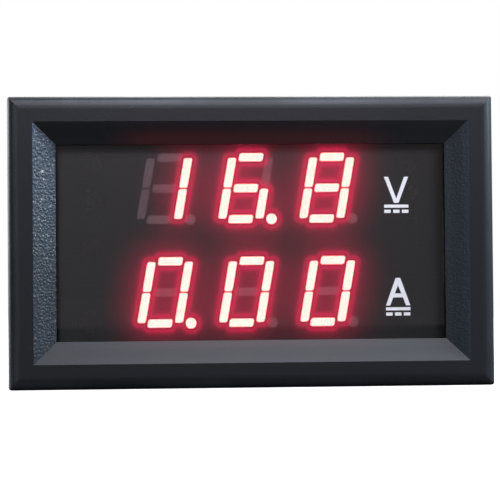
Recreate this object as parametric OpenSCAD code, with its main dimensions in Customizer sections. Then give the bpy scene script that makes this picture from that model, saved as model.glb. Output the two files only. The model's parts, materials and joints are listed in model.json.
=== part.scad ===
// Panel-mounted volt and ammeter: two rows of seven-segment digits behind a
// smoked window, in a moulded case that snaps into a rectangular cut-out.
//
// Millimetres. x runs to the right, y from the front to the rear and z up.
// The origin is the centre of the panel cut-out, in the plane of the seat
// behind the flange, so everything at y < 0 stands in front of the panel.

/* [Flange and window] */
// Width of the flange in front of the panel
flange_w = 48; // [48:0.5:60]
// Height of the flange in front of the panel
flange_h = 28.8; // [28.6:0.2:40]
// Thickness of the flange, from its front face to the panel seat
flange_t = 3; // [2.8:0.1:5]
// Rounding of the flange's front edge
edge_r = 0.95; // [0.4:0.05:1.5]
// Rounding of the flange's corners, seen from the front
corner_r = 0.4; // [0.2:0.1:1.5]
// Width of the frame between the flange's edge and the window bevel
frame_w = 2.5; // [2.3:0.1:3.5]
// Width of the sloping bevel around the window
bevel_w = 2.17; // [2:0.01:2.8]
// Depth of the bevel
bevel_t = 1.5; // [0.8:0.1:1.8]
// Height of the upright lip behind the bevel, down to the window's ledge
lip_t = 0.5; // [0.3:0.05:0.8]

/* [Sleeve behind the panel] */
// How far the flange covers the panel around the cut-out
flange_lip = 1.2; // [1.05:0.05:1.35]
// Gap between the sleeve and the edge of the cut-out
cutout_gap = 0.25; // [0.1:0.05:0.4]
// Length of the sleeve behind the panel seat
sleeve_l = 14.5; // [13:0.5:24]
// Wall of the sleeve
wall = 1.2; // [0.9:0.05:1.35]
// Rounding of the sleeve's long edges
sleeve_r = 1.5; // [0.8:0.1:2]
// Rounding inside the sleeve
cavity_r = 0.6; // [0.3:0.1:1]
// Chamfer that leads the sleeve's rear rim into the cut-out
rim_chamfer = 0.4; // [0.1:0.05:0.6]

/* [Snap tongues] */
// Height of each snap tongue, along z
tongue_w = 8; // [5:0.5:9]
// Width of the slots that free a tongue
slot_w = 0.8; // [0.5:0.1:1.2]
// Inside thinning that lets a tongue bend
tongue_thinning = 0.3; // [0.1:0.05:0.5]
// Thinnest panel that the first tooth grips
panel_min = 1; // [0.6:0.1:1.6]
// Number of teeth on a tongue
tooth_n = 5; // [3:1:7]
// Pitch of the teeth, along y
tooth_pitch = 1.3; // [0.9:0.1:1.6]
// Height of a tooth above the sleeve
tooth_h = 0.7; // [0.4:0.05:0.75]
// Depth of the pocket in the flange that the teeth are moulded through
pocket_t = 0.6; // [0.3:0.1:1]

/* [Window] */
// Thickness of the window's plate
lens_t = 1.5; // [1:0.1:2.5]
// Height of the raised pad that fills the opening
pad_t = 0.35; // [0.1:0.05:0.8]
// How far the plate laps the opening on each side
lens_lap = 1; // [0.6:0.05:1.1]
// Play of the window in its frame; it rests on the lower edge
lens_play = 0.25; // [0.05:0.05:0.35]

/* [Digits] */
// Value on the upper row, without its point
upper_value = 168; // [0:1:999]
// Digit of the upper row that the lit point follows
upper_point = 2; // [1:1:3]
// Value on the lower row, without its point
lower_value = 0; // [0:1:999]
// Digit of the lower row that the lit point follows
lower_point = 1; // [1:1:3]
// Height of a digit
digit_h = 7; // [6.4:0.1:7.4]
// Width of a digit before it is slanted
digit_w = 4.54; // [4:0.02:4.8]
// Pitch from digit to digit
digit_pitch = 8.13; // [7.7:0.01:8.2]
// Width of a segment
seg_w = 0.82; // [0.6:0.02:1]
// Gap between neighbouring segments
seg_gap = 0.25; // [0.15:0.01:0.4]
// Cut corner of a segment
seg_chamfer = 0.14; // [0.05:0.01:0.25]
// Depth of the light pipe behind a segment
seg_t = 1; // [0.5:0.1:3]
// Slant of the digits, in degrees
slant = 10; // [0:1:12]
// Diameter of a decimal point
point_d = 1.06; // [0.8:0.02:1.2]
// Place of a point, to the right of its digit's middle
point_x = 2.55; // [2.45:0.01:2.9]
// Shift of the digits that leaves room for their points
digit_shift = 0.45; // [0.3:0.05:0.6]

/* [Display modules] */
// Height of a module
display_h = 10.2; // [9.6:0.1:10.3]
// Depth of a module, from its face to the board
display_t = 6.1; // [5.5:0.1:8]
// Rim of a module beyond its outer digit cells
display_margin = 0.1; // [0:0.05:0.2]
// Gap between the two modules
row_gap = 0.15; // [0.1:0.01:0.25]
// Height of the pair above the middle of the window
display_lift = 0.25; // [0:0.05:0.3]
// Gap between the window and the modules' faces
display_gap = 0.2; // [0.1:0.05:1]
// Wall of a module beside its potting
potting_rim = 0.8; // [0.4:0.1:1.2]
// Potting beyond the rows of pins
potting_margin = 0.6; // [0.4:0.05:0.8]
// Depth of the potting below the rear edge of a module
potting_t = 0.3; // [0.1:0.1:1]
// Distance between a module's two rows of pins
pin_row_gap = 8; // [7.9:0.05:8.4]
// Pins in one row
pin_n = 6; // [4:1:6]
// Pitch of the pins
pin_pitch = 2.54; // [2:0.01:2.54]
// Radius of a solder joint on a display pin
solder_r = 0.72; // [0.6:0.01:0.75]
// Height of a pin behind the board
pin_tail = 1.2; // [0.9:0.1:2]

/* [Circuit board] */
// Thickness of the board
board_t = 1.6; // [1:0.1:2]
// Gap between the board's edge and the case
board_gap = 0.3; // [0.15:0.05:0.4]
// Rounding of the board's corners
board_r = 1; // [0.4:0.1:2]
// Depth of the notch that leaves room for a bending tongue
notch_t = 0.9; // [0.5:0.1:1]
// Overhang of the case's hooks inside the wall
hook_h = 0.8; // [0.5:0.05:0.9]
// Width of a hook
hook_w = 5; // [3:0.5:8]

/* [Connectors and shunt] */
// Pins of the supply and signal header
signal_n = 3; // [2:1:3]
// Pitch of the supply and signal header
signal_pitch = 2.54; // [2.5:0.02:2.54]
// Height of the supply and signal header
signal_h = 7; // [6:0.5:9]
// Pins of the current header
current_n = 2; // [2:1:2]
// Pitch of the current header
current_pitch = 3.96; // [3.5:0.02:3.96]
// Height of the current header
current_h = 9.6; // [8:0.2:12]
// Diameter of the shunt wire
shunt_d = 1.6; // [1:0.1:2]
// Distance between the shunt's legs
shunt_span = 7.4; // [5:0.2:7.6]
// Height of the shunt above the board
shunt_h = 5; // [3.5:0.1:8]

/* [Trimmers] */
// Side of a trimmer's square body
trimmer_w = 4.5; // [4:0.1:4.8]
// Height of a trimmer's body
trimmer_h = 2.1; // [1.8:0.1:4]
// Radius of the rotor
rotor_r = 1.65; // [1.2:0.05:1.8]
// Running clearance of the rotor, on the radius
rotor_play = 0.05; // [0.02:0.01:0.1]
// Radius of the rotor's pivot
pivot_r = 0.6; // [0.4:0.05:0.8]
// Width of the cross slot for the screwdriver
cross_w = 0.55; // [0.3:0.05:0.8]

/* [Hidden] */
$fn = 48;
cut = 0.5; // reach of a cutter beyond the face it cuts

// Stations along y, from the front face to the rear
front_y = -flange_t;
ledge_y = front_y + bevel_t + lip_t; // the window's plate bears on this ledge
lens_rear_y = ledge_y + lens_t;
display_y = lens_rear_y + display_gap; // faces of the modules
board_y = display_y + display_t;
board_rear_y = board_y + board_t;

// Display modules
digit_n = 3;
display_w = digit_n * digit_pitch + 2 * display_margin;
row_pitch = display_h + row_gap;
UPPER = 1;
LOWER = -1;
pin_w = 0.5;
pin_t = 0.3;
potting_h = pin_row_gap + 2 * potting_margin;
pin_zone = (pin_n - 1) / 2 * pin_pitch + solder_r; // half width of a row

// Outlines seen from the front
window_w = flange_w - 2 * (frame_w + bevel_w);
window_h = flange_h - 2 * (frame_w + bevel_w);
sleeve_w = flange_w - 2 * (flange_lip + cutout_gap);
sleeve_h = flange_h - 2 * (flange_lip + cutout_gap);
cavity_w = sleeve_w - 2 * wall;
cavity_h = sleeve_h - 2 * wall;
lens_w = window_w + 2 * lens_lap;
lens_h = window_h + 2 * lens_lap;
board_w = cavity_w - 2 * board_gap;
board_h = cavity_h - 2 * board_gap;

// Ribs on the inner walls centre the window and carry the board
rib_t = (cavity_w - lens_w) / 2 - lens_play;
rib_w = 1.2;
rib_inset = 3.2; // from the middle of a side rib to the corner of the cavity

// Segments that are lit for the digits 0 to 9, in the order a to g
GLYPHS = [
    [1, 1, 1, 1, 1, 1, 0],
    [0, 1, 1, 0, 0, 0, 0],
    [1, 1, 0, 1, 1, 0, 1],
    [1, 1, 1, 1, 0, 0, 1],
    [0, 1, 1, 0, 0, 1, 1],
    [1, 0, 1, 1, 0, 1, 1],
    [1, 0, 1, 1, 1, 1, 1],
    [1, 1, 1, 0, 0, 0, 0],
    [1, 1, 1, 1, 1, 1, 1],
    [1, 1, 1, 1, 0, 1, 1]
];

// Hooks of the case that hold the board
hook_gap = 0.05;
hook_land = 0.4;
hook_l = 1.6;
hook_x = board_w / 2 - 7;

// Both headers stand upright along the board's sides, clear of its notches
header_inset = hook_h + 0.4; // from the board's upper edge
side_inset = notch_t + 0.1; // from the board's side edges
signal_wall = 0.8;
signal_d = 5.75;
signal_base = 2.4;
signal_pin = 0.64;
signal_w = (signal_n - 1) * signal_pitch + 4.9;
signal_x = board_w / 2 - side_inset - signal_d / 2;
signal_z = board_h / 2 - header_inset - signal_w / 2;
current_d = 7.8;
current_base = 3.3;
current_wall = 1;
current_pin = 1.14;
current_w = (current_n - 1) * current_pitch + 3.94;
current_x = -(board_w / 2 - side_inset - current_d / 2);
current_z = board_h / 2 - header_inset - current_w / 2;
tail_t = 1.4; // pin tails in front of the board

// The shunt stands midway between the current header and the lower hooks
shunt_pad_r = shunt_d / 2 + 0.5;
shunt_bend = shunt_d;
shunt_z = (current_z - current_w / 2 - board_h / 2 + hook_h) / 2;

// The filter capacitor and the regulator stand midway between the display's
// pins and the signal header
can_r = 2;
can_h = 5.4;
can_base_t = 0.8;
can_half = can_r + 0.15;
filter_x = (pin_zone + signal_x - signal_d / 2) / 2;
filter_z = board_h / 2 - header_inset - can_half;
regulator_z = filter_z - can_half - 2.75;

// The trimmers stand in the lower corner, and the diode beside the pins
trimmer_z = -(board_h / 2 - hook_h - 0.8 - trimmer_w / 2);
trimmer_gap = trimmer_w + 1.2;
current_trimmer_x = board_w / 2 - 0.4 - trimmer_w / 2;
voltage_trimmer_x = current_trimmer_x - trimmer_gap;
well_t = 0.9; // depth of the rotor's well
well_floor = 0.05; // gap below the rotor
strap_t = 0.2;
diode_w = 2.6;
diode_l = 4.3;
diode_top = 2.1;
diode_x = pin_zone + 0.4 + diode_l / 2 + strap_t + 0.1;
diode_z = trimmer_z + trimmer_w / 2 + 0.8 + diode_w / 2;

// Sizes of the small surface-mounted parts
lead_t = 0.15;
chip_w = 1.25;
chip_l = 2;
chip_cap = 0.35;
resistor_t = 0.5;
capacitor_t = 0.9;

// ---------------------------------------------------------------- helpers

// Extrudes an outline drawn in x and z from y0 to y1.
module along_y(y0, y1) {
    translate([0, y1, 0]) rotate([90, 0, 0]) linear_extrude(y1 - y0) children();
}

// Rectangle with round corners, centred on the origin.
module round_rect(w, h, r) {
    square([w - 2 * r, h], center = true);
    square([w, h - 2 * r], center = true);
    for (sx = [-1, 1], sy = [-1, 1])
        translate([sx * (w / 2 - r), sy * (h / 2 - r)]) circle(r);
}

// The solid whose section along x is child 0 and along z is child 1. Both
// children are drawn as (y, distance from the middle), so their slopes and
// roundings meet in mitred corners.
module crossed() {
    intersection() {
        translate([0, 0, -flange_w]) linear_extrude(2 * flange_w) mirror([1, -1]) children(0);
        translate([-flange_w, 0, 0]) rotate([90, 0, 90]) linear_extrude(2 * flange_w) children(1);
    }
}

// Places a part on the rear face of the board, with its own z pointing away.
module on_rear(x, z, spin = 0) {
    translate([x, board_rear_y, z]) rotate([-90, 0, 0]) rotate([0, 0, spin]) children();
}

// Places a shape with its own z pointing out of the front of the face at y.
module facing_front(x, y, z) {
    translate([x, y, z]) rotate([90, 0, 0]) children();
}

// Centred block that stands on z0.
module slab(w, d, z0, z1) {
    translate([-w / 2, -d / 2, z0]) cube([w, d, z1 - z0]);
}

// Square pin with tapered ends, along z.
module pin(s, z0, z1, taper = 0.25) {
    points = [
        [-s / 2 + taper / 2, z0], [s / 2 - taper / 2, z0], [s / 2, z0 + taper],
        [s / 2, z1 - taper], [s / 2 - taper / 2, z1], [-s / 2 + taper / 2, z1],
        [-s / 2, z1 - taper], [-s / 2, z0 + taper]
    ];
    intersection() {
        rotate([90, 0, 0]) translate([0, 0, -s / 2]) linear_extrude(s) polygon(points);
        rotate([90, 0, 90]) translate([0, 0, -s / 2]) linear_extrude(s) polygon(points);
    }
}

// ---------------------------------------------------------------- housing

// Section of the flange: a bar with its two front edges rounded.
module flange_section(span) {
    translate([front_y + edge_r, -span / 2]) square([flange_t - edge_r, span]);
    translate([front_y, -span / 2 + edge_r]) square([flange_t, span - 2 * edge_r]);
    for (side = [-1, 1])
        translate([front_y + edge_r, side * (span / 2 - edge_r)]) circle(edge_r);
}

// Section of the window opening: the bevel, then the upright lip.
module window_section(opening) {
    flare = cut * bevel_w / bevel_t;
    half = opening / 2;
    polygon([
        [front_y - cut, half + bevel_w + flare],
        [front_y + bevel_t, half],
        [ledge_y + cut, half],
        [ledge_y + cut, -half],
        [front_y + bevel_t, -half],
        [front_y - cut, -half - bevel_w - flare]
    ]);
}

// Section of the sleeve, with the lead-in chamfer at its rear rim.
module sleeve_section(span) {
    half = span / 2;
    polygon([
        [-cut, -half], [sleeve_l - rim_chamfer, -half], [sleeve_l, -half + rim_chamfer],
        [sleeve_l, half - rim_chamfer], [sleeve_l - rim_chamfer, half], [-cut, half]
    ]);
}

module flange() {
    intersection() {
        crossed() {
            flange_section(flange_w);
            flange_section(flange_h);
        }
        along_y(front_y - cut, cut) round_rect(flange_w, flange_h, corner_r);
    }
}

module sleeve() {
    intersection() {
        crossed() {
            sleeve_section(sleeve_w);
            sleeve_section(sleeve_h);
        }
        along_y(-2 * cut, sleeve_l + cut) round_rect(sleeve_w, sleeve_h, sleeve_r);
    }
}

// Slots on both sides of a tongue, its thinning and the flange's pocket.
module tongue_cut() {
    for (side = [-1, 1])
        translate([cavity_w / 2 - cut, 0, side * (tongue_w + slot_w) / 2 - slot_w / 2])
            cube([wall + 2 * cut, sleeve_l + cut, slot_w]);
    translate([cavity_w / 2 - cut, lens_rear_y + cut, -tongue_w / 2])
        cube([tongue_thinning + cut, sleeve_l, tongue_w]);
    translate([sleeve_w / 2, -pocket_t, -tongue_w / 2 - slot_w])
        cube([tooth_h + 0.1, pocket_t + cut, tongue_w + 2 * slot_w]);
}

// Saw teeth: steep towards the panel, sloping towards the rear.
module tongue_teeth() {
    bite = wall / 4;
    flanks = [
        for (k = [0 : tooth_n - 1], x = [0, tooth_h])
            [x, panel_min + k * tooth_pitch]
    ];
    foot = panel_min + tooth_n * tooth_pitch;
    translate([sleeve_w / 2, 0, -tongue_w / 2]) linear_extrude(tongue_w)
        polygon(concat([[-bite, panel_min]], flanks, [[0, foot], [-bite, foot]]));
}

// Ribs along the inner walls, from the window's ledge to the board.
module ribs() {
    depth = board_y - ledge_y;
    for (sx = [-1, 1], sz = [-1, 1])
        translate([
            sx * (cavity_w / 2 - rib_t / 2 + wall / 4),
            ledge_y + depth / 2,
            sz * (cavity_h / 2 - rib_inset)
        ]) cube([rib_t + wall / 2, depth, rib_w], center = true);
    for (sx = [-1, 0, 1], sz = [-1, 1])
        translate([
            sx * (cavity_w / 2 - rib_inset),
            ledge_y + depth / 2,
            sz * (cavity_h / 2 - rib_t / 2 + wall / 4)
        ]) cube([rib_w, depth, rib_t + wall / 2], center = true);
}

// Ramped hook behind the board's upper edge.
module board_hook() {
    face = board_rear_y + hook_gap;
    top = cavity_h / 2;
    translate([-hook_w / 2, 0, 0]) rotate([90, 0, 90]) linear_extrude(hook_w)
        polygon([
            [face, top + wall / 4], [face, top - hook_h], [face + hook_land, top - hook_h],
            [face + hook_l, top], [face + hook_l, top + wall / 4]
        ]);
}

module housing() {
    color([0.09, 0.095, 0.1]) {
        difference() {
            union() {
                flange();
                sleeve();
            }
            crossed() {
                window_section(window_w);
                window_section(window_h);
            }
            along_y(ledge_y, sleeve_l + cut) round_rect(cavity_w, cavity_h, cavity_r);
            for (side = [0, 1]) mirror([side, 0, 0]) tongue_cut();
        }
        for (side = [0, 1]) mirror([side, 0, 0]) tongue_teeth();
        ribs();
        for (x = [-hook_x, hook_x], side = [0, 1])
            translate([x, 0, 0]) mirror([0, 0, side]) board_hook();
    }
}

// ----------------------------------------------------------------- window

// Smoked window: a plate behind the ledge and a pad in the opening.
module lens() {
    color([0.12, 0.12, 0.13, 0.5]) translate([0, 0, -lens_play]) {
        along_y(ledge_y, lens_rear_y) round_rect(lens_w, lens_h, cavity_r);
        along_y(ledge_y - pad_t, ledge_y + cut)
            round_rect(window_w - 2 * lens_play, window_h - 2 * lens_play, 0.2);
    }
}

// --------------------------------------------------------------- displays

function row_z(row) = display_lift + row * row_pitch / 2;
function cell_x(k) = (k - (digit_n - 1) / 2) * digit_pitch;
function figure(value, k) = floor(value / pow(10, digit_n - 1 - k)) % 10;
function slanted(p) = [p[0] + p[1] * tan(slant), p[1]];

// Outline of a segment: a box with cut corners, centred on c.
function segment_outline(c, w, h) = [
    for (corner = [
        [-w / 2 + seg_chamfer, -h / 2], [w / 2 - seg_chamfer, -h / 2],
        [w / 2, -h / 2 + seg_chamfer], [w / 2, h / 2 - seg_chamfer],
        [w / 2 - seg_chamfer, h / 2], [-w / 2 + seg_chamfer, h / 2],
        [-w / 2, h / 2 - seg_chamfer], [-w / 2, -h / 2 + seg_chamfer]
    ]) slanted(c + corner)
];

// Centre and size of the segments a to g of an upright digit.
across = digit_w / 2 - seg_w / 2;
up = digit_h / 2 - seg_w / 2;
bar_w = digit_w - 2 * (seg_w + seg_gap);
bar_h = up - seg_gap / 2;
SEGMENTS = [
    [[0, up], bar_w, seg_w],
    [[across, up / 2], seg_w, bar_h],
    [[across, -up / 2], seg_w, bar_h],
    [[0, -up], bar_w, seg_w],
    [[-across, -up / 2], seg_w, bar_h],
    [[-across, up / 2], seg_w, bar_h],
    [[0, 0], bar_w, seg_w]
];

// Light pipes of one row that are lit, or those that are dark. As a cutter
// they reach out of the module's face.
module segments(row, value, point, lit, reach = 0) {
    facing_front(0, display_y + seg_t, row_z(row))
        for (k = [0 : digit_n - 1]) translate([cell_x(k) - digit_shift, 0, 0]) {
            glyph = GLYPHS[figure(value, k)];
            for (s = [0 : len(SEGMENTS) - 1])
                if ((glyph[s] == 1) == lit)
                    linear_extrude(seg_t + reach) polygon(
                        segment_outline(SEGMENTS[s][0], SEGMENTS[s][1], SEGMENTS[s][2])
                    );
            if ((k + 1 == point) == lit)
                translate([point_x, -up, 0]) cylinder(d = point_d, h = seg_t + reach);
        }
}

// Body of a module, with pockets for its light pipes and potted rear.
module display_body(row) {
    color([0.17, 0.16, 0.17]) difference() {
        translate([-display_w / 2, display_y, row_z(row) - display_h / 2])
            cube([display_w, display_t, display_h]);
        translate([-display_w / 2 + potting_rim, board_y - potting_t, row_z(row) - potting_h / 2])
            cube([display_w - 2 * potting_rim, potting_t + cut, potting_h]);
        for (lit = [true, false]) segments(row, 0, 0, lit, cut);
    }
}

module lit_segments(row, value, point) {
    color([1, 0.25, 0.2]) segments(row, value, point, true);
}

module unlit_segments(row, value, point) {
    color([0.45, 0.42, 0.43]) segments(row, value, point, false);
}

// Places its child at each pin of a module, on the plane of the board's rear.
module at_pins(row) {
    for (edge = [-1, 1], k = [0 : pin_n - 1])
        on_rear((k - (pin_n - 1) / 2) * pin_pitch, row_z(row) + edge * pin_row_gap / 2)
            children();
}

module display_pins(row) {
    color([0.8, 0.8, 0.82]) at_pins(row)
        slab(pin_w, pin_t, -board_t - potting_t, pin_tail);
}

// Fillet of solder, cut free where the pin stands.
module solder_cone(base_r, top_r, h) {
    difference() {
        cylinder(r1 = base_r, r2 = top_r, h = h);
        translate([0, 0, -cut]) children();
    }
}

module display_solder() {
    color([0.75, 0.76, 0.78]) for (row = [UPPER, LOWER]) at_pins(row)
        solder_cone(solder_r, solder_r / 2, 0.7) slab(pin_w, pin_t, 0, 3);
}

// ------------------------------------------------------------------ board

// Places its child at each pin of the signal header.
module at_signal_pins() {
    for (k = [0 : signal_n - 1])
        translate([(k - (signal_n - 1) / 2) * signal_pitch, 0, 0]) children();
}

// Places its child at each pin of the current header.
module at_current_pins() {
    for (k = [0 : current_n - 1])
        translate([(k - (current_n - 1) / 2) * current_pitch, 0, 0]) children();
}

// Places its child at both legs of the shunt.
module at_shunt_legs() {
    for (side = [-1, 1]) translate([side * shunt_span / 2, 0, 0]) children();
}

module place_signal() {
    on_rear(signal_x, signal_z, 90) children();
}

module place_current() {
    on_rear(current_x, current_z, 90) children();
}

module place_shunt() {
    on_rear(current_x, shunt_z, 90) children();
}

module circuit_board() {
    hole = board_t + 2 * cut;
    color([0.05, 0.3, 0.16]) difference() {
        along_y(board_y, board_rear_y) round_rect(board_w, board_h, board_r);
        for (side = [-1, 1])
            translate([side * board_w / 2, board_y + board_t / 2, 0])
                cube([2 * notch_t, hole, tongue_w + 2 * slot_w], center = true);
        for (row = [UPPER, LOWER]) at_pins(row)
            translate([0, 0, cut - hole]) cylinder(d = 0.9, h = hole);
        place_signal() at_signal_pins()
            translate([0, 0, cut - hole]) cylinder(d = 1, h = hole);
        place_current() at_current_pins()
            translate([0, 0, cut - hole]) cylinder(d = 1.8, h = hole);
        place_shunt() at_shunt_legs()
            translate([0, 0, cut - hole]) cylinder(d = shunt_d + 0.3, h = hole);
    }
}

// Solder on the tails in front of the board, and on both ends of the shunt.
module connector_solder() {
    color([0.75, 0.76, 0.78]) {
        place_signal() at_signal_pins() translate([0, 0, -board_t]) mirror([0, 0, 1])
            solder_cone(0.8, 0.5, 0.8) slab(signal_pin, signal_pin, 0, 3);
        place_current() at_current_pins() translate([0, 0, -board_t]) mirror([0, 0, 1])
            solder_cone(1.3, 0.85, 0.9) slab(current_pin, current_pin, 0, 3);
        place_shunt() at_shunt_legs() {
            translate([0, 0, -board_t]) mirror([0, 0, 1])
                solder_cone(shunt_pad_r, shunt_pad_r - 0.35, 0.9) cylinder(d = shunt_d, h = 3);
            solder_cone(shunt_pad_r, shunt_pad_r - 0.35, 0.9) cylinder(d = shunt_d, h = 3);
        }
    }
}

// ------------------------------------------------------- integrated chips

// Moulded package that widens to its parting line, w across and l along.
module package(w, l, z0, z1, draft = 0.12) {
    mid = (z0 + z1) / 2;
    rotate([90, 0, 0]) translate([0, 0, -l / 2]) linear_extrude(l) polygon([
        [-w / 2 + draft, z0], [w / 2 - draft, z0], [w / 2, mid],
        [w / 2 - draft, z1], [-w / 2 + draft, z1], [-w / 2, mid]
    ]);
}

// Two rows of gull-wing leads beside a package that is w across.
module gull_leads(n, pitch, w, span, stand, lead_w) {
    reach = (span - w) / 2;
    knee = reach * 0.45;
    for (side = [0, 1], k = [0 : n - 1]) mirror([side, 0, 0])
        translate([w / 2, (k - (n - 1) / 2) * pitch, 0])
            rotate([90, 0, 0]) translate([0, 0, -lead_w / 2]) linear_extrude(lead_w) polygon([
                [0, stand], [knee - lead_t, stand], [knee, 0], [reach, 0], [reach, lead_t],
                [knee + lead_t, lead_t], [knee, stand + lead_t], [0, stand + lead_t]
            ]);
}

// Package with its first-pin mark and leads under its parting line.
module marked_package(w, l, z0, z1) {
    difference() {
        package(w, l, z0, z1);
        translate([-w / 2 + 0.9, -l / 2 + 0.9, z1 - 0.08]) cylinder(d = 0.7, h = cut);
    }
}

controller_w = 4.4;
controller_l = 6.5;
controller_span = 6.4;
controller_top = 1.05;
controller_stand_off = 0.1; // gap between its body and the board
controller_n = 10;
controller_pitch = 0.65;
module place_controller() {
    on_rear(0, row_z(UPPER), 90) children();
}

module controller_body() {
    color([0.08, 0.08, 0.085]) place_controller()
        marked_package(controller_w, controller_l, controller_stand_off, controller_top);
}

module controller_leads() {
    color([0.8, 0.8, 0.82]) place_controller()
        gull_leads(
            controller_n, controller_pitch, controller_w, controller_span,
            (controller_top + controller_stand_off - lead_t) / 2, 0.25
        );
}

amplifier_w = 3.9;
amplifier_l = 4.9;
amplifier_span = 6;
amplifier_top = 1.6;
amplifier_stand_off = 0.15; // gap between its body and the board
amplifier_n = 4;
amplifier_pitch = 1.27;
amplifier_x = -3.9; // left of the middle, beside its chip resistors
module place_amplifier() {
    on_rear(amplifier_x, row_z(LOWER), 90) children();
}

module amplifier_body() {
    color([0.08, 0.08, 0.085]) place_amplifier()
        marked_package(amplifier_w, amplifier_l, amplifier_stand_off, amplifier_top);
}

module amplifier_leads() {
    color([0.8, 0.8, 0.82]) place_amplifier()
        gull_leads(
            amplifier_n, amplifier_pitch, amplifier_w, amplifier_span,
            (amplifier_top + amplifier_stand_off - lead_t) / 2, 0.4
        );
}

// ------------------------------------------------------------ power parts

module place_regulator() {
    on_rear(filter_x, regulator_z) children();
}

regulator_w = 4.5;
regulator_d = 2.5;
regulator_h = 1.5;
regulator_pitch = 1.5;
// Regulator: a flat body with a heat tab above and three leads below.
module regulator_body() {
    color([0.08, 0.08, 0.085]) place_regulator() difference() {
        rotate([0, 0, 90]) package(regulator_d, regulator_w, 0, regulator_h);
        translate([-0.9, -regulator_d / 2 - cut, -cut]) cube([1.8, 1.2 + cut, lead_t + 0.2 + cut]);
        for (k = [-1, 0, 1])
            translate([k * regulator_pitch - 0.25, 0.9, -cut]) cube([0.5, 1, lead_t + 0.2 + cut]);
    }
}

module regulator_leads() {
    color([0.8, 0.8, 0.82]) place_regulator() {
        translate([-0.85, -1.85, 0]) cube([1.7, 1.75, lead_t + 0.2]);
        for (k = [-1, 0, 1])
            translate([k * regulator_pitch - 0.2, 0.9, 0]) cube([0.4, 1.25, lead_t + 0.2]);
    }
}

module place_diode() {
    on_rear(diode_x, diode_z) children();
}

// Reverse-polarity diode, with its two terminals folded under the ends.
module diode_body() {
    color([0.08, 0.08, 0.085]) place_diode()
        package(diode_l, diode_w, strap_t, diode_top);
}

module diode_terminals() {
    mid = (diode_top + strap_t) / 2;
    color([0.8, 0.8, 0.82]) place_diode() for (side = [0, 1])
        mirror([side, 0, 0]) rotate([90, 0, 0]) translate([0, 0, -0.75]) linear_extrude(1.5)
            polygon([
                [diode_l / 2, mid], [diode_l / 2 + strap_t + 0.1, mid],
                [diode_l / 2 + strap_t + 0.1, 0], [diode_l / 2 - 1.1, 0],
                [diode_l / 2 - 1.1, strap_t], [diode_l / 2, strap_t]
            ]);
}

// ------------------------------------------------------- chips with caps

// Places as [x, z, spin] of the chip resistors and of the chip capacitors:
// a column beside the display's pins and groups beside both integrated chips
column_x = -(pin_zone + 0.9 + chip_w / 2);
RESISTOR_PLACES = concat(
    [for (k = [-1.5 : 1.5]) [column_x, row_z(UPPER) + 2.3 * k, 90]],
    [for (k = [-1 : 1]) [2.6, row_z(LOWER) + 1.9 * k, 0]]
);
CAPACITOR_PLACES = concat(
    [for (k = [-1 : 1]) [column_x, row_z(LOWER) + 3.4 * k, 90]],
    [for (row = [UPPER, LOWER], k = [-0.5, 0.5]) [5.4, row_z(row) + 3 * k, 90]]
);

module at_places(places) {
    for (p = places) on_rear(p[0], p[1], p[2]) children();
}

module chip_body(t) {
    slab(chip_l - 2 * chip_cap, chip_w, 0, t);
}

module chip_caps(t) {
    for (side = [-1, 1])
        translate([side * (chip_l - chip_cap) / 2, 0, 0]) slab(chip_cap, chip_w, 0, t);
}

module resistor_bodies() {
    color([0.07, 0.07, 0.08]) at_places(RESISTOR_PLACES) chip_body(resistor_t);
}

module resistor_end_caps() {
    color([0.8, 0.8, 0.82]) at_places(RESISTOR_PLACES) chip_caps(resistor_t);
}

module capacitor_bodies() {
    color([0.6, 0.45, 0.3]) at_places(CAPACITOR_PLACES) chip_body(capacitor_t);
}

module capacitor_end_caps() {
    color([0.8, 0.8, 0.82]) at_places(CAPACITOR_PLACES) chip_caps(capacitor_t);
}

// -------------------------------------------------------- filter capacitor

module place_filter_capacitor() {
    on_rear(filter_x, filter_z) children();
}

// Square base with two cut corners that mark the polarity.
module filter_capacitor_base() {
    bevel = can_half - 0.9;
    color([0.07, 0.07, 0.08]) place_filter_capacitor() linear_extrude(can_base_t) polygon([
        [-can_half, -can_half], [bevel, -can_half], [can_half, -bevel],
        [can_half, bevel], [bevel, can_half], [-can_half, can_half]
    ]);
}

// Aluminium can with its crimped waist and rolled top edge.
module filter_capacitor_can() {
    color([0.82, 0.83, 0.84]) place_filter_capacitor() rotate_extrude() polygon([
        [0, can_base_t], [can_r - 0.1, can_base_t], [can_r, can_base_t + 0.15],
        [can_r, 1.35], [can_r - 0.2, 1.6], [can_r - 0.2, 1.75], [can_r, 2],
        [can_r, can_h - 0.2], [can_r - 0.2, can_h], [0, can_h]
    ]);
}

// --------------------------------------------------------------- trimmers

rotor_top = 0.1; // rise of the rotor above the trimmer's body

// Square body with the rotor's well and the bore of its pivot.
module trimmer_body(x) {
    color([0.85, 0.86, 0.84]) on_rear(x, trimmer_z) difference() {
        slab(trimmer_w, trimmer_w, 0.1, trimmer_h);
        translate([0, 0, trimmer_h - well_t])
            cylinder(r = rotor_r + rotor_play, h = well_t + cut);
        translate([0, 0, trimmer_h - well_t - 0.8])
            cylinder(r = pivot_r + rotor_play, h = well_t);
    }
}

// Rotor: a slotted disc on its pivot, turning about the trimmer's middle.
module trimmer_rotor(x) {
    low = trimmer_h - well_t + well_floor;
    top = trimmer_h + rotor_top;
    color([0.9, 0.75, 0.35]) on_rear(x, trimmer_z) difference() {
        union() {
            translate([0, 0, low]) cylinder(r = rotor_r, h = top - low);
            translate([0, 0, low - 0.7]) cylinder(r = pivot_r, h = 0.7 + cut);
        }
        for (spin = [0, 90]) rotate([0, 0, spin])
            translate([-rotor_r * 0.72, -cross_w / 2, top - 0.5])
                cube([rotor_r * 1.44, cross_w, 0.5 + cut]);
    }
}

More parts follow.
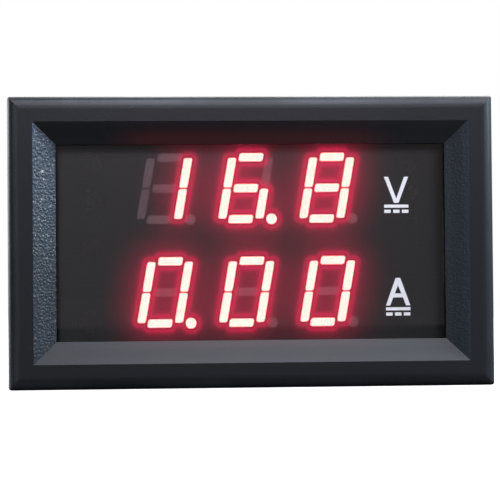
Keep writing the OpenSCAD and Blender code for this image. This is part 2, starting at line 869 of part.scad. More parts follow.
// Two straps on one side of a trimmer and one on the other.
module trimmer_terminals(x) {
    color([0.8, 0.8, 0.82]) on_rear(x, trimmer_z)
        for (place = [[-1.25, 0], [1.25, 0], [0, 180]]) rotate([0, 0, place[1]])
            translate([place[0] - 0.5, 0, 0]) rotate([90, 0, 90]) linear_extrude(1) polygon([
                [trimmer_w / 2, trimmer_h / 2], [trimmer_w / 2 + 0.15, trimmer_h / 2],
                [trimmer_w / 2 + 0.15, lead_t], [trimmer_w / 2 + 0.6, lead_t],
                [trimmer_w / 2 + 0.6, 0], [trimmer_w / 2, 0]
            ]);
}

// ---------------------------------------------------------------- headers

// Shrouded header: a box with an open socket, keyed along its lower side.
module signal_header() {
    socket_w = signal_w - 2 * signal_wall;
    socket_d = signal_d - 2 * signal_wall;
    color([0.93, 0.92, 0.87]) place_signal() difference() {
        slab(signal_w, signal_d, 0, signal_h);
        slab(socket_w, socket_d, signal_base, signal_h + cut);
        for (side = [-1, 1]) translate([side * (signal_w / 2 - 2), signal_d / 2, 0])
            slab(1.2, 2 * signal_wall + cut, signal_base, signal_h + cut);
        translate([0, -signal_d / 2, 0])
            slab(1.6, 2 * signal_wall + cut, signal_h - 1.2, signal_h + cut);
        at_signal_pins() slab(signal_pin, signal_pin, -cut, signal_h);
    }
}

module signal_pins() {
    color([0.85, 0.85, 0.87]) place_signal() at_signal_pins()
        pin(signal_pin, -board_t - tail_t, signal_h - 0.6);
}

// Open header: a base with a tall friction-lock wall that is slotted.
module current_header() {
    half = current_d / 2;
    color([0.93, 0.92, 0.87]) place_current() difference() {
        translate([-current_w / 2, 0, 0]) rotate([90, 0, 90]) linear_extrude(current_w) polygon([
            [-half, 0], [half, 0], [half, current_base],
            [-half + current_wall, current_base],
            [-half + current_wall, current_h - 1.6],
            [-half + current_wall + 0.5, current_h - 1.1],
            [-half + current_wall, current_h],
            [-half, current_h]
        ]);
        translate([0, -half, 0]) slab(1.6, 2 * current_wall + 2, current_base + 1, current_h + cut);
        for (side = [-1, 1]) translate([side * current_w / 2, half - 1.2, 0])
            slab(1, 1.2, -cut, current_base + cut);
        at_current_pins() slab(current_pin, current_pin, -cut, current_h);
    }
}

module current_pins() {
    color([0.85, 0.85, 0.87]) place_current() at_current_pins()
        pin(current_pin, -board_t - tail_t, current_h - 0.8, 0.5);
}

// ------------------------------------------------------------------ shunt

// Thick resistance wire, bent to a staple whose legs stand in the board.
module shunt() {
    r = shunt_d / 2;
    leg = board_t + tail_t;
    top = shunt_h - r;
    color([0.72, 0.5, 0.36]) place_shunt() {
        at_shunt_legs() translate([0, 0, -leg]) cylinder(r = r, h = leg + top - shunt_bend);
        for (side = [0, 1]) mirror([side, 0, 0])
            translate([shunt_span / 2 - shunt_bend, 0, top - shunt_bend])
                rotate([90, 0, 0]) rotate_extrude(angle = 90) translate([shunt_bend, 0]) circle(r);
        translate([shunt_bend - shunt_span / 2, 0, top]) rotate([0, 90, 0])
            cylinder(r = r, h = shunt_span - 2 * shunt_bend);
    }
}

// ------------------------------------------------------------------ nodes

housing();
lens();
display_body(UPPER);  // upper_display
display_body(LOWER);  // lower_display
lit_segments(UPPER, upper_value, upper_point);  // upper_lit_segments
unlit_segments(UPPER, upper_value, upper_point);  // upper_unlit_segments
lit_segments(LOWER, lower_value, lower_point);  // lower_lit_segments
unlit_segments(LOWER, lower_value, lower_point);  // lower_unlit_segments
display_pins(UPPER);  // upper_display_pins
display_pins(LOWER);  // lower_display_pins
circuit_board();
display_solder();
connector_solder();
controller_body();
controller_leads();
amplifier_body();
amplifier_leads();
regulator_body();
regulator_leads();
diode_body();
diode_terminals();
resistor_bodies();
resistor_end_caps();
capacitor_bodies();
capacitor_end_caps();
filter_capacitor_base();
filter_capacitor_can();
trimmer_body(voltage_trimmer_x);  // voltage_trimmer_body
trimmer_rotor(voltage_trimmer_x);  // voltage_trimmer_rotor
trimmer_terminals(voltage_trimmer_x);  // voltage_trimmer_terminals
trimmer_body(current_trimmer_x);  // current_trimmer_body
trimmer_rotor(current_trimmer_x);  // current_trimmer_rotor
trimmer_terminals(current_trimmer_x);  // current_trimmer_terminals
signal_header();
signal_pins();
current_header();
current_pins();
shunt();
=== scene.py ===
"""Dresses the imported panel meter: finishes, window marks, glow and board legend."""
import json
import logging
import math
from dataclasses import dataclass, field
from enum import Enum
from functools import reduce
from typing import Iterable, NamedTuple, Optional, Sequence

import bmesh
import bpy
import numpy as np
from mathutils import Matrix, Vector


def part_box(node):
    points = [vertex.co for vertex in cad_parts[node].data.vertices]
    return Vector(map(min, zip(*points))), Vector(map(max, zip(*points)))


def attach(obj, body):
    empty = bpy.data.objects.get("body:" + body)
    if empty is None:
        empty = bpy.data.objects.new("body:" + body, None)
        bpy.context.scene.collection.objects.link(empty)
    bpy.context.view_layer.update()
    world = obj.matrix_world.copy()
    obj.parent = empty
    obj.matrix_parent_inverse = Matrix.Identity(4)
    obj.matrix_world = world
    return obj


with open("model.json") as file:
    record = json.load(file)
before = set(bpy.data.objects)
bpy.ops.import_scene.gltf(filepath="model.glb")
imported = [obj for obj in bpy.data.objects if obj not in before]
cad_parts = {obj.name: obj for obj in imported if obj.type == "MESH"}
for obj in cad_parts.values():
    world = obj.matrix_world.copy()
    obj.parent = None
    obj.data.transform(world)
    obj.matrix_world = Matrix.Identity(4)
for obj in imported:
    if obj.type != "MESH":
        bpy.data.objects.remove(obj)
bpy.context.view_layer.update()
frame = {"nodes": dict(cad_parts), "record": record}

MM = 0.001
WELD = 1e-7  # metres within which two corners are one
LOG = logging.getLogger("panel_meter")
MIDDLE = (0.3, 0.7)  # where most of a noise lies

Span = tuple[float, float]
Colour = tuple[float, float, float]
Socket = bpy.types.NodeSocket
Sockets = bpy.types.bpy_prop_collection
Value = Socket | float
Material = bpy.types.Material
Mesh = bmesh.types.BMesh


class Row(Enum):
    """The two rows of digits."""

    UPPER = "upper"
    LOWER = "lower"


# ------------------------------------------------------------ shader tools


def shade(colour: Colour, share: float) -> Colour:
    """Dims or brightens a colour.

    Args:
        colour: The colour at full strength.
        share: Share of it to keep.

    Returns:
        The changed colour.
    """
    return tuple(channel * share for channel in colour)


class Graph:
    """A thin hand on a node tree, of a material, a world or a group."""

    # The sockets that a Mix node uses for colours.
    FACTOR, FIRST, SECOND, MIXED = 0, 6, 7, 2

    def __init__(self, tree: bpy.types.NodeTree) -> None:
        """Keeps the tree.

        Args:
            tree: The node tree that nodes are added to.
        """
        self.tree = tree

    def add(
        self, kind: str, inputs: Optional[dict[str | int, Value | Colour]] = None,
        **props: object,
    ) -> bpy.types.Node:
        """Adds a node, sets its properties, and sets or links its inputs.

        Args:
            kind: The node's type name, without the ShaderNode prefix.
            inputs: Values or output sockets, by input name or number.
            **props: Properties of the node itself.

        Returns:
            The new node.
        """
        node = self.tree.nodes.new("ShaderNode" + kind)
        for key, value in props.items():
            setattr(node, key, value)
        for key, value in (inputs or {}).items():
            self.feed(node.inputs[key], value)
        return node

    def feed(self, socket: Socket, value: Value | Colour) -> None:
        """Links an output socket to an input, or sets the input's own value.

        Args:
            socket: The input.
            value: An output socket, a number, or a colour without alpha.
        """
        if isinstance(value, Socket):
            self.tree.links.new(value, socket)
        elif isinstance(value, tuple) and socket.type == "RGBA":
            socket.default_value = (*value, 1.0)
        else:
            socket.default_value = value

    def maths(self, operation: str, *values: Value, clamp: bool = False) -> Socket:
        """Adds a Math node.

        Args:
            operation: What it does with its values.
            *values: Numbers or output sockets.
            clamp: Whether the result is held between 0 and 1.

        Returns:
            The result.
        """
        node = self.add("Math", operation=operation, use_clamp=clamp)
        for k, value in enumerate(values):
            self.feed(node.inputs[k], value)
        return node.outputs[0]

    def times(self, *values: Value) -> Socket:
        """Multiplies two or more values, from left to right."""
        return reduce(lambda product, value: self.maths("MULTIPLY", product, value), values)

    def plus(self, first: Value, second: Value) -> Socket:
        """Adds two values."""
        return self.maths("ADD", first, second)

    def minus(self, first: Value, second: Value) -> Socket:
        """Takes the second value from the first."""
        return self.maths("SUBTRACT", first, second)

    def remap(
        self, value: Socket, low: float, high: float, to_low: float = 0.0,
        to_high: float = 1.0, smooth: bool = True,
    ) -> Socket:
        """Maps a range of a value onto another, and holds it at the ends.

        Args:
            value: The value to map.
            low: Where the range starts.
            high: Where it ends.
            to_low: Result at the start.
            to_high: Result at the end.
            smooth: Whether it eases in and out.

        Returns:
            The mapped value.
        """
        node = self.add(
            "MapRange",
            {"Value": value, "From Min": low, "From Max": high,
             "To Min": to_low, "To Max": to_high},
            interpolation_type="SMOOTHSTEP" if smooth else "LINEAR",
        )
        return node.outputs[0]

    def fall(self, value: Socket, low: float, high: float, top: float = 1.0) -> Socket:
        """Falls smoothly from the top to 0 as a value goes from low to high."""
        return self.remap(value, low, high, top, 0.0)

    def blend(
        self, factor: Value, first: Value | Colour, second: Value | Colour
    ) -> Socket:
        """Mixes two colours.

        Args:
            factor: Share of the second colour, from 0 to 1.
            first: The colour at 0.
            second: The colour at 1.

        Returns:
            The mixed colour.
        """
        node = self.add("Mix", data_type="RGBA")
        self.feed(node.inputs[self.FACTOR], factor)
        self.feed(node.inputs[self.FIRST], first)
        self.feed(node.inputs[self.SECOND], second)
        return node.outputs[self.MIXED]

    def noise(
        self, vector: Socket, scale: Value, detail: float = 3.0, rough: float = 0.55
    ) -> Socket:
        """Adds a noise texture.

        Args:
            vector: Where it is read.
            scale: How many clouds there are in a metre.
            detail: How many finer layers lie on them.
            rough: How strong those layers are.

        Returns:
            The noise, from 0 to 1.
        """
        node = self.add(
            "TexNoise",
            {"Vector": vector, "Scale": scale, "Detail": detail, "Roughness": rough},
        )
        return node.outputs[0]

    def cells(self, vector: Socket, scale: Value, **settings: float) -> Socket:
        """Adds a cell texture and returns the distance from each cell's middle."""
        inputs = {"Vector": vector, "Scale": scale, **settings}
        return self.add("TexVoronoi", inputs).outputs["Distance"]


class GroupKit:
    """The shader groups that several finishes share, each built once."""

    def __init__(self) -> None:
        """Builds the three groups."""
        self.grain = self._grain()
        self.soil = self._soil()
        self.drawn = self._drawn()

    @staticmethod
    def _open(
        name: str, ins: dict[str, float], outs: Sequence[str]
    ) -> tuple[Graph, Sockets, Sockets]:
        """Starts a group that takes a Vector and some numbers and puts out numbers.

        Args:
            name: Name of the group.
            ins: Number inputs and their defaults.
            outs: Names of the number outputs.

        Returns:
            The group's graph, what it takes in, and where its results go.
        """
        tree = bpy.data.node_groups.new(name, "ShaderNodeTree")
        number, vector = "NodeSocketFloat", "NodeSocketVector"
        tree.interface.new_socket("Vector", in_out="INPUT", socket_type=vector)
        for label, default in ins.items():
            socket = tree.interface.new_socket(label, in_out="INPUT", socket_type=number)
            socket.default_value = default
        for label in outs:
            tree.interface.new_socket(label, in_out="OUTPUT", socket_type=number)
        start, end = (tree.nodes.new("NodeGroup" + way) for way in ("Input", "Output"))
        return Graph(tree), start.outputs, end.inputs

    def _grain(self) -> bpy.types.NodeTree:
        """Spark-eroded mould grain: pebbles, a finer tooth, and a mask for painted glints.

        Returns:
            The group.
        """
        finer, coarse_share, fine_share, dome_reach = 2.7, 0.7, 0.3, 0.75
        glint_level, glint_gain, glint_width = 0.72, 0.12, 0.06
        g, given, out = self._open(
            "mould_grain",
            {"Scale": 4000.0, "Pebbles": 0.3, "Fleck": 0.6},
            ["Height", "Flecks"],
        )
        place, scale = given["Vector"], given["Scale"]
        coarse = g.noise(place, scale, detail=4.0, rough=0.6)
        fine = g.noise(place, g.times(scale, finer), detail=2.0, rough=0.5)
        domes = g.fall(g.cells(place, scale), 0.0, dome_reach)
        tooth = g.plus(g.times(coarse, coarse_share), g.times(fine, fine_share))
        rise = g.times(g.minus(domes, tooth), given["Pebbles"])
        low = g.minus(glint_level, g.times(given["Fleck"], glint_gain))
        # Mask for painted glints: bright spots on the grain's peaks.
        glint_spots = g.maths("DIVIDE", g.minus(coarse, low), glint_width, clamp=True)
        g.feed(out["Height"], g.plus(tooth, rise))
        g.feed(out["Flecks"], glint_spots)
        return g.tree

    def _soil(self) -> bpy.types.NodeTree:
        """Dust and handling: broad clouds and scattered specks.

        Returns:
            The group.
        """
        speck_edge, dusty, cloudy = (0.06, 0.13), (0.5, 0.68), (0.35, 0.65)
        g, given, out = self._open(
            "soil", {"Scale": 120.0, "Specks": 2500.0}, ["Clouds", "Specks"]
        )
        clouds = g.noise(given["Vector"], given["Scale"], detail=5.0, rough=0.6)
        speck = g.fall(g.cells(given["Vector"], given["Specks"]), *speck_edge)
        g.feed(out["Clouds"], g.remap(clouds, *cloudy))
        g.feed(out["Specks"], g.times(speck, g.remap(clouds, *dusty)))
        return g.tree

    def _drawn(self) -> bpy.types.NodeTree:
        """Streaks that drawing or stamping leaves, along the y axis.

        Returns:
            The group.
        """
        g, given, out = self._open(
            "drawn_streaks", {"Scale": 3000.0, "Stretch": 0.05}, ["Height", "Tone"]
        )
        squeeze = g.add("CombineXYZ", {"X": 1.0, "Y": given["Stretch"], "Z": 1.0})
        vector = g.add(
            "VectorMath", {0: given["Vector"], 1: squeeze.outputs[0]}, operation="MULTIPLY"
        )
        streaks = g.noise(vector.outputs[0], given["Scale"], rough=0.6)
        g.feed(out["Height"], streaks)
        g.feed(out["Tone"], g.remap(streaks, *MIDDLE))
        return g.tree


class Paint(Graph):
    """A material under construction, with its Principled shader."""

    def __init__(self, name: str) -> None:
        """Makes the material, its shader and its coordinates.

        Args:
            name: Name of the material.
        """
        self.material = bpy.data.materials.new(name)
        self.material.use_nodes = True
        super().__init__(self.material.node_tree)
        self.bsdf = self.tree.nodes["Principled BSDF"]
        self.place = self.add("TexCoord").outputs["Object"]

    def axes(self) -> Sockets:
        """Splits the object coordinates into outputs named X, Y and Z."""
        return self.add("SeparateXYZ", {"Vector": self.place}).outputs

    def set(self, **values: Value | Colour) -> None:
        """Sets or links inputs of the shader; underscores stand for spaces."""
        for key, value in values.items():
            self.feed(self.bsdf.inputs[key.replace("_", " ")], value)

    def group(self, tree: bpy.types.NodeTree, **inputs: Value) -> Sockets:
        """Places a shared group, fed with object coordinates.

        Args:
            tree: The group.
            **inputs: Its settings that differ from their defaults.

        Returns:
            The group's outputs.
        """
        node = self.add("Group", node_tree=tree)
        for key, value in {"Vector": self.place, **inputs}.items():
            self.feed(node.inputs[key], value)
        return node.outputs

    def relief(self, height: Socket, depth_mm: float) -> None:
        """Feeds a height into the shader's normal.

        Args:
            height: Height socket, from 0 to 1.
            depth_mm: Depth of the full height, in millimetres.
        """
        bump = self.add("Bump", {"Height": height, "Distance": depth_mm * MM})
        self.set(Normal=bump.outputs[0])


KIT = GroupKit()


# ---------------------------------------------------------------- finishes


@dataclass(frozen=True)
class Moulded:
    """A moulded plastic or epoxy with grain, dust and uneven gloss."""

    name: str
    colour: Colour
    roughness: float = 0.5
    grain_scale: float = 4000.0
    grain_mm: float = 0.01
    tone: float = 0.25
    dust: float = 0.1
    dust_colour: Colour = (0.5, 0.5, 0.5)
    coat: float = 0.0
    uneven: float = 0.07

    def make(self) -> Material:
        """Builds the material.

        Returns:
            The finished material.
        """
        p = Paint(self.name)
        height = p.group(KIT.grain, Scale=self.grain_scale)["Height"]
        soil = p.group(KIT.soil)
        body = p.blend(height, shade(self.colour, 1 - self.tone), self.colour)
        dusty = p.blend(p.times(soil["Specks"], self.dust), body, self.dust_colour)
        glossy, dull = self.roughness - self.uneven, self.roughness + self.uneven
        rough = p.remap(soil["Clouds"], 0.0, 1.0, glossy, dull)
        p.set(Base_Color=dusty, Roughness=rough, Coat_Weight=self.coat)
        p.relief(height, self.grain_mm)
        return p.material


class FlangeZones(NamedTuple):
    """Where a point lies on the flange; each but the first is 0 to 1."""

    inset: Socket
    front: Socket
    bevel: Socket
    left: Socket


@dataclass(frozen=True)
class RedBounce:
    """Red light that the digits throw on the slopes above and below them."""

    colour: Colour = (1.0, 0.03, 0.03)
    strength: float = 0.02
    near_mm: Span = (-0.2, 0.9)
    near_level: float = 0.8
    wide_mm: Span = (0.0, 3.2)
    wide_level: float = 0.2
    end_mm: float = 3.0
    behind_mm: float = 0.4

    def light(self, p: Paint, axes: Sockets) -> Socket:
        """Builds the emission colour.

        Args:
            p: The material under construction.
            axes: The object's coordinates.

        Returns:
            The colour: black where no red light falls.
        """
        low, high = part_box("lower_display")[0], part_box("upper_display")[1]
        above, below = p.minus(axes["Z"], high.z), p.minus(low.z, axes["Z"])
        out = p.maths("MAXIMUM", above, below)
        near = p.fall(out, *(mm * MM for mm in self.near_mm), self.near_level)
        wide = p.fall(out, *(mm * MM for mm in self.wide_mm), self.wide_level)
        end = self.end_mm * MM
        across = p.fall(p.maths("ABSOLUTE", axes["X"]), high.x - end, high.x + end)
        front = p.fall(axes["Y"], 0.0, self.behind_mm * MM)
        share = p.times(p.plus(near, wide), p.times(across, front))
        return p.blend(share, (0.0, 0.0, 0.0), self.colour)


@dataclass(frozen=True)
class CaseGrain:
    """The case's spark-eroded black: side slopes with painted light and painted glints, and
    worn outer edges with a painted highlight.
    """

    name: str = "case_black"
    colour: Colour = (0.0095, 0.0104, 0.0130)
    # Lighter outer rim: rub wear, partly a painted highlight.
    edge: Colour = (0.026, 0.029, 0.034)
    # Colour of the painted glints on the left slope.
    glint_colour: Colour = (0.46, 0.43, 0.40)
    # Painted light on the side slopes: lighter and bluer, as if lit from the right.
    painted_slope_light: Colour = (0.036, 0.053, 0.074)
    right_painted_light: float = 0.35
    dust: float = 0.12
    dust_colour: Colour = (0.4, 0.4, 0.42)
    bounce: RedBounce = RedBounce()
    roughness: float = 0.45
    worn_polish: float = 0.1
    glint_polish: float = 0.2
    grain_scale: float = 3600.0
    # Depths of the grain on each side slope and elsewhere, and of the rolled edge.
    left_mm: float = 0.075
    right_mm: float = 0.035
    plain_mm: float = 0.008
    roll_mm: float = 0.08
    # Ways in from the outline, where each of these fades.
    rolled_mm: Span = (-1.3, -0.6)
    wear_and_highlight_mm: Span = (-1.1, -0.6)
    frame_mm: Span = (-2.56, -2.44)
    mitre_mm: Span = (-0.02, 0.02)
    # Depths behind the front, likewise.
    front_mm: Span = (0.2, 1.2)
    bevel_mm: Span = (1.6, 1.7)
    # Heights between which the left slope's painted light, painted glints and deeper grain
    # grow.
    left_fade_mm: Span = (-6.0, 9.0)
    left_fade_low: float = 0.3

    def make(self) -> Material:
        """Builds the material; wear and grain follow the flange's own outline.

        Returns:
            The finished material.
        """
        p = Paint(self.name)
        axes = p.axes()
        zone = self._zones(p, axes)
        grain = p.group(KIT.grain, Scale=self.grain_scale, Pebbles=0.6, Fleck=0.9)
        soil = p.group(KIT.soil, Scale=90.0, Specks=1800.0)
        # Lighter outer rim: rub wear and a painted highlight, uneven with the clouds.
        outer = p.times(p.remap(zone.inset, *self._metres(self.wear_and_highlight_mm)), zone.front)
        wear_and_highlight = p.times(outer, soil["Clouds"])
        # Painted light on the side slopes, strongest on the left slope and towards its top.
        lit_slopes = p.times(zone.bevel, p.maths("MAXIMUM", zone.left, self.right_painted_light))
        body = p.blend(lit_slopes, p.blend(wear_and_highlight, self.colour, self.edge), self.painted_slope_light)
        # Painted glints on the left slope, brightest towards its top.
        glint_mask = p.times(grain["Flecks"], p.times(zone.bevel, zone.left))
        glinted = p.blend(glint_mask, body, self.glint_colour)
        dusty = p.blend(p.times(soil["Specks"], self.dust), glinted, self.dust_colour)
        rough = p.minus(self.roughness, p.times(wear_and_highlight, self.worn_polish))
        p.set(
            Base_Color=dusty,
            Roughness=p.minus(rough, p.times(glint_mask, self.glint_polish)),
            Emission_Color=self.bounce.light(p, axes),
            Emission_Strength=self.bounce.strength,
        )
        p.relief(self._height(p, zone, grain["Height"]), self.left_mm)
        return p.material

    @staticmethod
    def _metres(span: Span, start: float = 0.0) -> Span:
        """Turns a span in millimetres, counted from a start, into metres."""
        return tuple(start + mm * MM for mm in span)

    def _zones(self, p: Paint, axes: Sockets) -> FlangeZones:
        """Finds the flange's regions from the case's own box.

        Args:
            p: The material under construction.
            axes: The object's coordinates.

        Returns:
            The way in from the outline (in metres, below 0), the front, the two
            side slopes of the bevel, and the left side, which fades downwards.
        """
        low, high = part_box("housing")
        side = p.minus(p.maths("ABSOLUTE", axes["X"]), high.x)
        rim = p.minus(p.maths("ABSOLUTE", axes["Z"]), high.z)
        inset = p.maths("MAXIMUM", side, rim)
        front = p.fall(axes["Y"], *self._metres(self.front_mm, low.y))
        opening = p.fall(inset, *self._metres(self.frame_mm))
        shallow = p.fall(axes["Y"], *self._metres(self.bevel_mm, low.y))
        upright = p.remap(p.minus(side, rim), *self._metres(self.mitre_mm))
        bevel = p.times(opening, shallow, upright)
        high_up = p.remap(axes["Z"], *self._metres(self.left_fade_mm), self.left_fade_low, 1.0)
        left = p.times(p.maths("LESS_THAN", axes["X"], 0.0), high_up)
        return FlangeZones(inset, front, bevel, left)

    def _height(self, p: Paint, zone: FlangeZones, grain: Socket) -> Socket:
        """Adds up the relief: grain, deepest at the left, and the rolled outer edge.

        Args:
            p: The material under construction.
            zone: The flange's regions.
            grain: Height of the grain.

        Returns:
            The height, where 1 stands for left_mm.
        """
        coarse = p.remap(zone.left, 0.0, 1.0, self.right_mm / self.left_mm, 1.0)
        depth = p.remap(
            p.times(zone.bevel, coarse), 0.0, 1.0, self.plain_mm / self.left_mm, 1.0,
            smooth=False,
        )
        reach = self._metres(self.rolled_mm)
        roll = p.fall(zone.inset, *reach, self.roll_mm / self.left_mm)
        return p.plus(p.times(grain, depth), p.times(roll, zone.front))


@dataclass(frozen=True)
class Smoked:
    """Smoked acrylic with a satin face that scatters a little room light."""

    name: str = "smoked_acrylic"
    tint: Colour = (0.105, 0.098, 0.105)
    speck: float = 0.3
    speck_tone: float = 0.7
    gloss: Span = (0.012, 0.05)
    ior: float = 1.49
    specular: float = 0.2
    satin: float = 0.36
    satin_ior: float = 1.6
    lap_mm: float = 1.0
    shade_mm: float = 0.05
    left_mm: float = 0.6
    right_mm: float = 1.7
    top_mm: float = 1.0
    shaded: float = 0.1

    def make(self) -> Material:
        """Builds the material: smudged, and clear where the lip shades its edge.

        Returns:
            The finished material.
        """
        p = Paint(self.name)
        soil = p.group(KIT.soil, Scale=70.0, Specks=900.0)
        specks = p.times(soil["Specks"], self.speck)
        p.set(
            Base_Color=p.blend(specks, self.tint, shade(self.tint, self.speck_tone)),
            Roughness=p.remap(soil["Clouds"], 0.0, 1.0, *self.gloss),
            Transmission_Weight=1.0,
            IOR=self.ior,
            Specular_IOR_Level=self.specular,
            Coat_Weight=self._sheen(p),
            Coat_Roughness=self.satin,
            Coat_IOR=self.satin_ior,
        )
        return p.material

    def _sheen(self, p: Paint) -> Socket:
        """Fades the reflections where the lip shades the top and the sides.

        Args:
            p: The material under construction.

        Returns:
            Weight of the satin coat, from 0 to 1.
        """
        low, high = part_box("lens")
        axes = p.axes()
        lap = self.lap_mm * MM
        insets = (
            (p.minus(axes["X"], low.x + lap), self.left_mm),
            (p.minus(high.x - lap, axes["X"]), self.right_mm),
            (p.minus(high.z - lap, axes["Z"]), self.top_mm),
        )
        return p.times(1.0, *(
            p.remap(inset, self.shade_mm * MM, reach * MM, self.shaded, 1.0)
            for inset, reach in insets
        ))


@dataclass(frozen=True)
class LitPipe:
    """Light pipes that are lit: the red channel runs over, so the core is cream."""

    name: str = "lit_pipe"
    colour: Colour = (0.5, 0.05, 0.04)
    roughness: float = 0.4
    glow: Colour = (1.0, 0.192, 0.156)
    strength: float = 60.0
    cloud_scale: float = 700.0
    cloud: float = 0.97

    def make(self) -> Material:
        """Builds the material, a little uneven as the chip behind it is small.

        Returns:
            The finished material.
        """
        p = Paint(self.name)
        clouds = p.noise(p.place, self.cloud_scale, detail=2.0)
        p.set(
            Base_Color=self.colour,
            Roughness=self.roughness,
            Emission_Color=p.blend(clouds, shade(self.glow, self.cloud), self.glow),
            Emission_Strength=self.strength,
        )
        return p.material


@dataclass(frozen=True)
class DimPipe:
    """Light pipes that are off: milky, with a little light from their neighbours."""

    name: str = "dim_pipe"
    colour: Colour = (0.36, 0.31, 0.33)
    roughness: float = 0.42
    leak: Colour = (0.82, 0.62, 0.68)
    cloud_scale: float = 420.0
    cloud: float = 0.7
    grain_scale: float = 2600.0
    grain_mm: float = 0.004

    def make(self) -> Material:
        """Builds the material; the leaked light is uneven.

        Returns:
            The finished material.
        """
        p = Paint(self.name)
        clouds = p.remap(p.noise(p.place, self.cloud_scale, detail=2.0), *MIDDLE)
        p.set(
            Base_Color=self.colour,
            Roughness=self.roughness,
            Emission_Color=p.blend(clouds, shade(self.leak, self.cloud), self.leak),
            Emission_Strength=1.0,
        )
        p.relief(p.group(KIT.grain, Scale=self.grain_scale)["Height"], self.grain_mm)
        return p.material


@dataclass(frozen=True)
class Halo:
    """Film with painted glow: white-hot along the lit outlines, then a ring, then a wide glow.
    """

    name: str = "painted_halo"
    core: LitPipe = LitPipe()
    colour: Colour = (0.02, 0.002, 0.004)
    roughness: float = 0.6
    ring: Colour = (0.78, 0.006, 0.070)
    strength: float = 9.5
    cover_mm: Span = (-0.08, 0.0)
    hot_mm: Span = (-0.03, 0.03)
    reach_mm: float = 1.2
    ring_levels: tuple[Span, ...] = (
        (0.10, 0.18), (0.18, 0.38), (0.28, 0.53), (0.37, 0.53), (0.47, 0.36),
        (0.57, 0.21), (0.67, 0.12), (0.77, 0.06), (0.90, 0.03), (1.10, 0.0),
    )
    wide: float = 1.02
    mottle_scale: float = 3000.0
    mottle: Span = (0.93, 1.0)

    def make(self) -> Material:
        """Builds the material from the film's own distance and glow attributes.

        Returns:
            The finished material.
        """
        p = Paint(self.name)
        away, glow = (
            p.add("Attribute", attribute_name=name).outputs["Fac"]
            for name in ("lit_distance", "lit_glow")
        )
        outside = p.remap(away, *self.cover_mm)
        hot = p.fall(away, *self.hot_mm)
        near = p.plus(self._ring(p, away), p.times(glow, self.wide))
        mottle = p.remap(p.noise(p.place, self.mottle_scale), *MIDDLE, *self.mottle)
        veil = p.maths("MULTIPLY", near, mottle, clamp=True)
        core = shade(self.core.glow, self.core.strength / self.strength)
        # Painted glow: emission white-hot at the outlines, then the ring and the wide glow.
        p.set(
            Base_Color=self.colour,
            Roughness=self.roughness,
            Alpha=p.times(outside, p.maths("MAXIMUM", hot, veil)),
            Emission_Color=p.blend(hot, self.ring, core),
            Emission_Strength=self.strength,
        )
        return p.material

    def _ring(self, p: Paint, away: Socket) -> Socket:
        """Looks the ring's strength up by distance.

        Args:
            p: The material under construction.
            away: Distance from the lit outlines, in millimetres.

        Returns:
            Strength of the ring, from 0 to 1.
        """
        ramp = p.add("ValToRGB")
        stops = ramp.color_ramp.elements
        levels = [(mm / self.reach_mm, level) for mm, level in self.ring_levels]
        first, *between, last = levels
        for stop, (place, level) in zip(stops, (first, last)):
            stop.position = place
            stop.color = (level, level, level, 1)
        for place, level in between:
            stops.new(place).color = (level, level, level, 1)
        p.feed(ramp.inputs[0], p.remap(away, 0.0, self.reach_mm, smooth=False))
        return ramp.outputs[0]


@dataclass(frozen=True)
class Laminate:
    """Green solder mask over bundles of copper traces, with tented vias."""

    name: str = "solder_mask"
    mask: Colour = (0.010, 0.105, 0.040)
    trace: Colour = (0.016, 0.155, 0.058)
    hole: Colour = (0.004, 0.02, 0.01)
    zone_scale: float = 190.0
    turned_share: float = 0.55
    plane_share: float = 0.72
    pitch_mm: float = 0.62
    trace_mm: float = 0.26
    shoulder_mm: float = 0.02
    via_scale: float = 330.0
    via_spread: float = 0.75
    ring_edge: Span = (0.075, 0.1)
    hole_edge: Span = (0.03, 0.045)
    gloss: Span = (0.22, 0.34)
    coat: float = 0.3
    relief_mm: float = 0.02

    def make(self) -> Material:
        """Builds the material.

        Returns:
            The finished material.
        """
        p = Paint(self.name)
        axes = p.axes()
        flat = p.add("CombineXYZ", {"X": axes["X"], "Y": axes["Z"], "Z": 0.0}).outputs[0]
        vias = p.cells(flat, self.via_scale, Randomness=self.via_spread)
        ring, hole = p.fall(vias, *self.ring_edge), p.fall(vias, *self.hole_edge)
        raised = p.maths("MAXIMUM", self._routing(p, axes, flat), ring)
        weave = p.group(KIT.grain, Scale=2500.0)["Height"]
        p.set(
            Base_Color=p.blend(hole, p.blend(raised, self.mask, self.trace), self.hole),
            Roughness=p.remap(weave, 0.0, 1.0, *self.gloss),
            Coat_Weight=self.coat,
        )
        p.relief(p.minus(raised, hole), self.relief_mm)
        return p.material

    def _routing(self, p: Paint, axes: Sockets, flat: Socket) -> Socket:
        """Zones whose traces run along x or along z, or that are a plane.

        Args:
            p: The material under construction.
            axes: The object's coordinates.
            flat: The same, laid flat on the board.

        Returns:
            1 on copper and 0 between the traces.
        """
        zones = p.add("TexVoronoi", {"Vector": flat, "Scale": self.zone_scale},
                      distance="CHEBYCHEV")
        pick = p.add("SeparateColor", {"Color": zones.outputs["Color"]}).outputs
        along_x, along_z = (self._bundle(p, axes[name]) for name in ("Z", "X"))
        turned = p.maths("GREATER_THAN", pick[0], self.turned_share)
        plane = p.maths("GREATER_THAN", pick[1], self.plane_share)
        return p.blend(plane, p.blend(turned, along_x, along_z), (1.0, 1.0, 1.0))

    def _bundle(self, p: Paint, axis: Socket) -> Socket:
        """Parallel traces that repeat along one axis.

        Args:
            p: The material under construction.
            axis: The coordinate that they repeat along.

        Returns:
            1 on a trace and 0 between two.
        """
        half, shoulder = self.trace_mm / 2, self.shoulder_mm
        fold = p.maths("PINGPONG", axis, self.pitch_mm / 2 * MM)
        return p.fall(fold, (half - shoulder) * MM, (half + shoulder) * MM)


